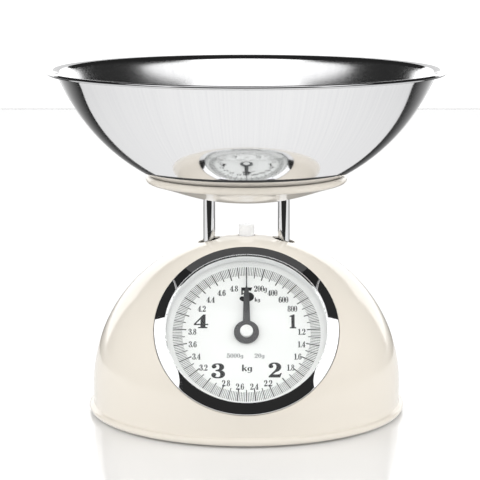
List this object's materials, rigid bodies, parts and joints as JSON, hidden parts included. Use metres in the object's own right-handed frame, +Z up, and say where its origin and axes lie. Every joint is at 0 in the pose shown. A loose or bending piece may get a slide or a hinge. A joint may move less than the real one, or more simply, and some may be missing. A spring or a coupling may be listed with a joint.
{
  "type": "mechanical kitchen scale",
  "caption": "Mechanical kitchen scale: cream domed housing with a sloping round dial under a clear lens, chromed posts, a dished tray and a lift-off round steel bowl.",
  "frame": {"origin": "on the worktop, under the middle of the feet, the dome and the bowl, which share one vertical axis", "axes": "+Z up, the dial faces -Y, +X to the right of someone who reads the dial"},
  "size_m": [0.26, 0.26, 0.2258],
  "materials": {
    "cream_plastic": "high gloss, warm cream",
    "base_plastic": "fine matte, cream grey",
    "rubber": "matte black",
    "chrome": "bright plated",
    "bowl_steel": "mirror polished stainless steel",
    "clear_lens": "clear, glossy",
    "dial_white": "satin white with printed scale",
    "white_plastic": "satin white",
    "pointer_grey": "satin grey",
    "nylon": "natural nylon",
    "brass": "turned",
    "zinc_casting": "cast, dull",
    "pressed_steel": "zinc plated sheet",
    "bright_steel": "ground rod",
    "spring_steel": "drawn wire",
    "screw_steel": "zinc plated"
  },
  "bodies": {
    "housing": {"dome_housing": "cream_plastic", "base_plate": "base_plastic", "base_screws": "screw_steel", "foot_front_left": "rubber", "foot_front_right": "rubber", "foot_rear_left": "rubber", "foot_rear_right": "rubber", "bezel": "chrome", "bezel_screws": "screw_steel", "lens": "clear_lens", "dial_plate": "dial_white", "dial_carrier": "base_plastic", "carrier_screws": "screw_steel", "movement_bracket": "pressed_steel", "front_bush": "brass", "rear_bush": "brass", "rack_guide": "nylon", "dial_stand": "pressed_steel", "stand_screws": "screw_steel", "frame": "pressed_steel", "frame_screws": "screw_steel", "upper_pivot_rod": "bright_steel", "lower_pivot_rod": "bright_steel", "pivot_clips": "spring_steel", "screw_bush": "brass"},
    "platform": {"carriage": "pressed_steel", "carriage_pins": "bright_steel", "spring_anchor": "pressed_steel", "rack_arm": "pressed_steel", "rack": "brass", "rack_rivet": "brass", "left_spring": "spring_steel", "right_spring": "spring_steel", "left_post": "chrome", "right_post": "chrome", "tray": "cream_plastic", "tray_screws": "screw_steel", "post_screws": "screw_steel"},
    "bowl": {"bowl": "bowl_steel"},
    "pointer": {"pinion_shaft": "brass", "pointer": "pointer_grey", "pointer_cap": "white_plastic"},
    "upper_link": {"upper_link": "pressed_steel"},
    "lower_link": {"lower_link": "pressed_steel"},
    "zero_knob": {"zero_knob": "white_plastic", "zero_screw": "brass", "zero_clip": "spring_steel"},
    "spring_hanger": {"spring_hanger": "zinc_casting", "hanger_nut": "brass"}
  },
  "joints": [
    {"name": "platform_drop", "type": "slide", "parent": "housing", "child": "platform", "axis": [0, 0, -1], "range_m": [0, 0.01423], "stiffness_N_per_m": 3447, "springref_m": -0.00172, "deforming": ["left_spring", "right_spring"]},
    {"name": "bowl_lift", "type": "slide", "parent": "platform", "child": "bowl", "axis": [0, 0, 1], "range_m": [0, 0.08]},
    {"name": "pointer_turn", "type": "hinge", "parent": "housing", "child": "pointer", "pos_m": [0, -0.06157, 0.06357], "axis": [0, 0.7944, -0.6074], "range_deg": [0, 360]},
    {"name": "upper_link_swing", "type": "hinge", "parent": "housing", "child": "upper_link", "pos_m": [0, 0.04949, 0.074], "axis": [1, 0, 0], "range_deg": [0, 16.5]},
    {"name": "lower_link_swing", "type": "hinge", "parent": "housing", "child": "lower_link", "pos_m": [0, 0.04949, 0.034], "axis": [1, 0, 0], "range_deg": [0, 16.5]},
    {"name": "zero_knob_turn", "type": "hinge", "parent": "housing", "child": "zero_knob", "pos_m": [0, 0, 0.118], "axis": [0, 0, 1], "range_deg": [-360, 360]},
    {"name": "hanger_shift", "type": "slide", "parent": "housing", "child": "spring_hanger", "axis": [0, 0, 1], "range_m": [-0.00056, 0.00056]}
  ],
  "couplings": [
    {"joint": "pointer_turn", "follows": "platform_drop", "rad_per_m": 441.34},
    {"joint": "upper_link_swing", "follows": "platform_drop", "rad_per_m": 20.068},
    {"joint": "lower_link_swing", "follows": "platform_drop", "rad_per_m": 20.068},
    {"joint": "hanger_shift", "follows": "zero_knob_turn", "m_per_rad": -0.000079577}
  ]
}
